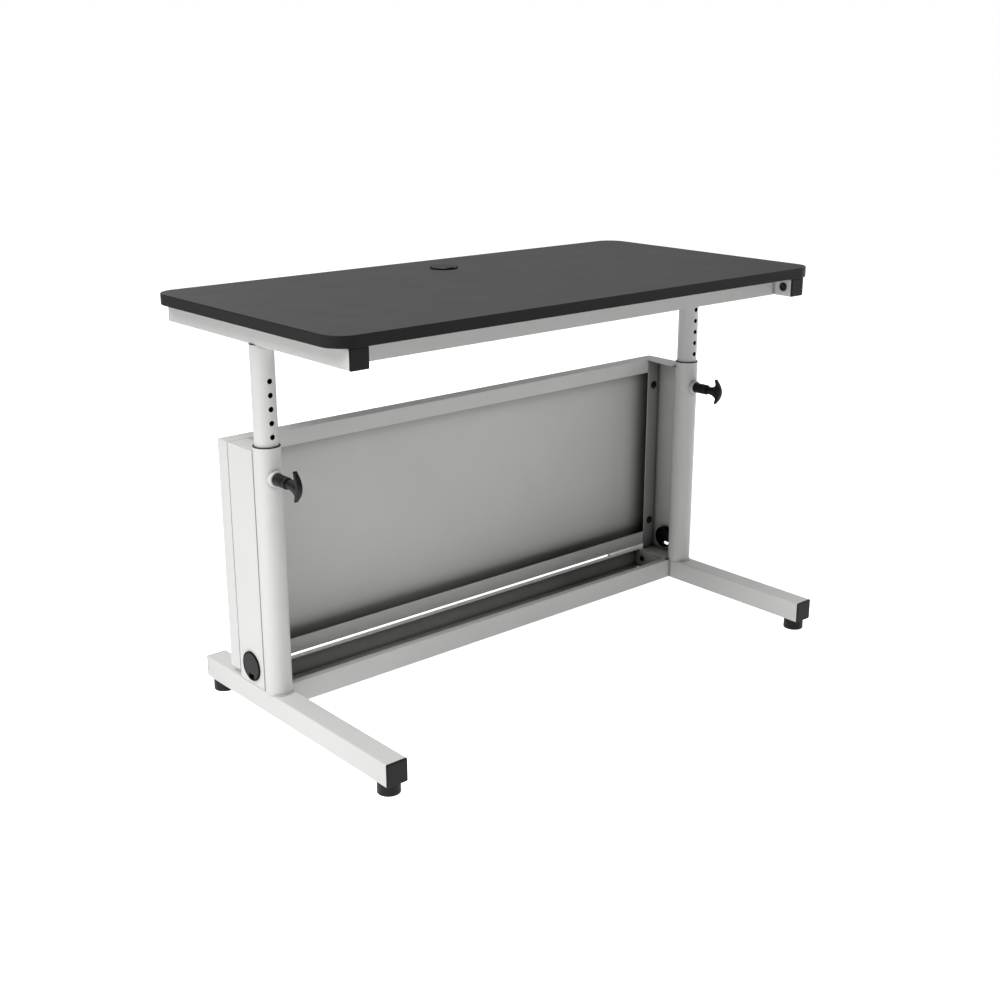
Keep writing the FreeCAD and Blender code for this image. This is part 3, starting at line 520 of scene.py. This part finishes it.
for side in ("left", "right"):
    node = f"{side}_pull_handle"
    low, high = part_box(node)
    at = middle(node)
    wide, long, tall = size_mm(node)
    half, bulge, thick, tip, root = tall / 2, 13.0, 11.5, 2.0, 16.0
    shoulder = half - tip
    outline = []
    for step in range(-24, 25):
        up = step / 24 * shoulder
        outline.append((bulge * (up / shoulder) ** 2 + 0.01, up))
    face_points = len(outline)
    for step in range(1, 12):
        turn = math.pi * step / 12
        outline.append((bulge + tip * (1 - math.cos(turn)), shoulder + tip * math.sin(turn)))
    for step in range(14):
        up = shoulder - step / 13 * (shoulder - root)
        outline.append((thick + (bulge + 2 * tip - thick) * (up / shoulder) ** 2, up))
    for step in range(1, 15):
        t = step / 14
        outline.append((thick + 2 + t * (long - thick - 7), 7.9 + 7.3 * (1 - t) ** 2.4))
    mirrored = [(y, -z) for y, z in reversed(outline[face_points:])]
    grip = plate(outline + mirrored, 9.0)
    for vert in grip.verts:  # broad in the middle, slim at the tips
        vert.co.x *= 1.2 - 0.35 * (vert.co.z / MM / half) ** 2
    ease(grip, 1.3, 3, 60)
    shift = Matrix.Translation((at.x, low[1], at.z))
    neck = spun(
        [
            (0, thick),
            (7.3, thick),
            (7.9, long - 6),
            (wide / 2, long - 4),
            (wide / 2, long),
            (0, long),
        ],
        48,
    )
    ease(neck, 0.6, 2)
    neck.transform(Matrix.Rotation(-math.pi / 2, 4, "X"))
    part = bpy.data.meshes.new("neck")
    neck.to_mesh(part)
    neck.free()
    grip.from_mesh(part)
    bpy.data.meshes.remove(part)
    finish_piece(f"{side}_grip", grip, [shift], nylon, f"{side}_plunger", "black_plastic", node)

# ---- Cable tray
# Folded sheet in the frame's coat, bolted to the inner sides of the feet with button bolts of
# black oxide steel.
oxide, tree, shader, here = start("black_oxide_steel")
bloom = noise(tree, here, 9, 3.0)
tooling = noise(tree, here, 0.6, 2.0)
colour(tree, shader, bloom, "#2e2e2f", "#3a3a3b")
gloss(tree, shader, bloom, 0.34, 0.46)
relief(tree, shader, tooling, 0.15, 0.04)
shader.inputs["Metallic"].default_value = 1.0


def button_bolt(wide, head, cap, length):
    """A flanged button bolt with a hexagon socket; its head looks along +Z from the origin."""
    mesh = spun(
        [
            (0, -length),
            (wide / 2 - 0.6, -length),
            (wide / 2, -length + 0.6),
            (wide / 2, 0),
            (head / 2, 0),
            (head / 2, cap * 0.22),
            (head / 2 - 0.5, cap * 0.32),
            (head * 0.39, cap * 0.38),
            (head * 0.37, cap * 0.62),
            (head * 0.32, cap * 0.84),
            (head * 0.25, cap),
        ],
        48,
    )
    rim = [e for e in mesh.edges if e.is_boundary]
    made = bmesh.ops.create_circle(
        mesh, cap_ends=False, segments=6, radius=wide * 0.31 * MM,
        matrix=Matrix.Translation((0, 0, cap * MM)),
    )
    socket = list({edge for vert in made["verts"] for edge in vert.link_edges})
    bmesh.ops.triangle_fill(mesh, edges=rim + socket, use_beauty=True)
    walls = bmesh.ops.extrude_edge_only(mesh, edges=socket)["geom"]
    floor_verts = [g for g in walls if isinstance(g, bmesh.types.BMVert)]
    bmesh.ops.translate(mesh, vec=(0, 0, -cap * 0.6 * MM), verts=floor_verts)
    edges = [g for g in walls if isinstance(g, bmesh.types.BMEdge)]
    floor_edges = [e for e in edges if all(v in floor_verts for v in e.verts)]
    bmesh.ops.contextual_create(mesh, geom=floor_edges)
    return mesh


def facing(at, direction):
    """A place whose +Z looks along a direction."""
    return Matrix.Translation(at) @ Vector(direction).to_track_quat("Z", "Y").to_matrix().to_4x4()


paint("cable_tray", powder)
low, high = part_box("tray_bolts")
tray_low, tray_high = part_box("cable_tray")
head, cap, sheet = 13.6, 3.3, 1.2
spots = []
for s, wall in ((-1, tray_low[0]), (1, tray_high[0])):
    for y in (low[1] + head / 2 * MM, high[1] - head / 2 * MM):
        spots.append(facing((wall - s * sheet * MM, y, (low[2] + high[2]) / 2), (-s, 0, 0)))
finish_piece(
    "tray_button_bolts", button_bolt(6.0, head, cap, 12.0), spots, oxide, "base", "black_steel",
    "tray_bolts",
)

# ---- Side covers and rear panel
# Folded sheet in the frame's coat; each cover's rear flange is bolted to the panel's lip.
# Two dark bands of painted shade are put on each cover, at its front edge and at the panel's
# joint, so that the shadowed seams show as they do on the real desk.
cover_coat, tree, shader, here = powder_coat("coated_cover_with_painted_seam_shade")
low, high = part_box("left_side_cover")
# Painted shade in the seams: the coat is darkened to a fifth of its colour within 6 mm of the front
# edge, and to about half within 1 mm of the rear edge.
along = add(tree, "ShaderNodeSeparateXYZ", {"Vector": here}).outputs["Y"]
near_leg = add(
    tree, "ShaderNodeMapRange",
    {"Value": along, "From Min": low[1] + 6 * MM, "From Max": low[1] + 7.5 * MM, "To Min": 0.2},
).outputs["Result"]
near_panel = add(
    tree, "ShaderNodeMapRange",
    {"Value": along, "From Min": high[1] - 1 * MM, "From Max": high[1] - 3 * MM,
     "To Min": 0.55},
).outputs["Result"]
both = add(tree, "ShaderNodeMath", {0: near_leg, 1: near_panel}, operation="MULTIPLY").outputs[0]
coat = shader.inputs["Base Color"].links[0].from_socket
painted_seam_shade = add(
    tree, "ShaderNodeMix", {"Factor": both, "A": linear("#000000"), "B": coat}, data_type="RGBA"
)
tree.links.new(painted_seam_shade.outputs["Result"], shader.inputs["Base Color"])
paint("left_side_cover", cover_coat)
paint("right_side_cover", cover_coat)
paint("rear_panel", powder)
paint("cover_nuts", zinc)
low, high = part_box("cover_bolts")
head, cap = 17.8, 4.4
seat = low[1] + cap * MM
spots = [
    facing((x, seat, z), (0, -1, 0))
    for x in (low[0] + head / 2 * MM, high[0] - head / 2 * MM)
    for z in (low[2] + head / 2 * MM, high[2] - head / 2 * MM)
]
finish_piece(
    "cover_button_bolts", button_bolt(8.0, head, cap, (high[1] - seat) / MM), spots, oxide,
    "base", "black_steel", "cover_bolts",
)

# ---- Upper frame
# Square tube rails in the frame's coat, welded at their corners, with the same kind of caps.
for node in ("left_side_rail", "right_side_rail", "front_cross_rail", "rear_cross_rail"):
    paint(node, powder)
paint("tabletop_screws", zinc)
rails = ["left_side_rail", "right_side_rail"]
finish_piece(
    "rail_caps", end_cap(size_mm("left_side_rail")[0], 1.5), tube_ends(rails), nylon,
    "upper_frame", "black_plastic", "rail_end_caps",
)
button = spun(
    [
        (0, -5.5),
        (6.5, -5.5),
        (6.5, 0),
        (9, 0),
        (9, 0.9),
        (8.5, 1.5),
        (7.2, 2.0),
        (5.0, 2.15),
        (4.4, 1.7),
        (0, 1.7),
    ],
    48,
)
low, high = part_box("rail_hole_buttons")
z = (low[2] + high[2]) / 2
spots = [
    facing((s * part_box("right_side_rail")[0][0], y, z), (-s, 0, 0))
    for s in (-1, 1)
    for y in (low[1] + 9 * MM, high[1] - 9 * MM)
]
finish_piece(
    "rail_buttons", button, spots, nylon, "upper_frame", "black_plastic", "rail_hole_buttons"
)

# ---- Tabletop
# Particle board faced with a dark grey laminate, its suede finish a fine press texture that
# spreads the light, and a black band glued round it.
laminate, tree, shader, here = start("suede_laminate")
grain = noise(tree, here, 1.4, 3.0)
cloud = noise(tree, here, 70, 2.0)
colour(tree, shader, grain, "#3c3c3c", "#444444")
gloss(tree, shader, cloud, 0.55, 0.64)
relief(tree, shader, grain, 0.15, 0.1)
shader.inputs["Specular IOR Level"].default_value = 0.4
paint("tabletop_board", laminate)

# Edge band: extruded ABS, smooth along its length with faint draw lines round the rim.
abs_band, tree, shader, here = start("abs_edge_band")
drawn = add(tree, "ShaderNodeMapping", {"Vector": here, "Scale": (0.02, 0.02, 1.0)})
lines = noise(tree, drawn.outputs["Vector"], 1.5, 2.0)
colour(tree, shader, lines, "#111111", "#181818")
gloss(tree, shader, lines, 0.5, 0.62)
relief(tree, shader, lines, 0.08, 0.1)
shader.inputs["Specular IOR Level"].default_value = 0.35
paint("tabletop_edge_band", abs_band)

# ---- Cable ports
# Pressed-in liners of dull, deep black nylon and turning caps of the glides' duller one, in the
# top and in each cover.
liner_nylon, tree, shader, here = start("deep_black_nylon")
swirl = noise(tree, here, 6, 2.0)
colour(tree, shader, swirl, "#050505", "#0a0a0a")
gloss(tree, shader, swirl, 0.5, 0.6)
relief(tree, shader, swirl, 0.05, 0.05)
shader.inputs["Specular IOR Level"].default_value = 0.04
for name in ("tabletop", "left_side", "right_side"):
    paint(f"{name}_port_liner", liner_nylon)
    paint(f"{name}_port_cap", nylon)
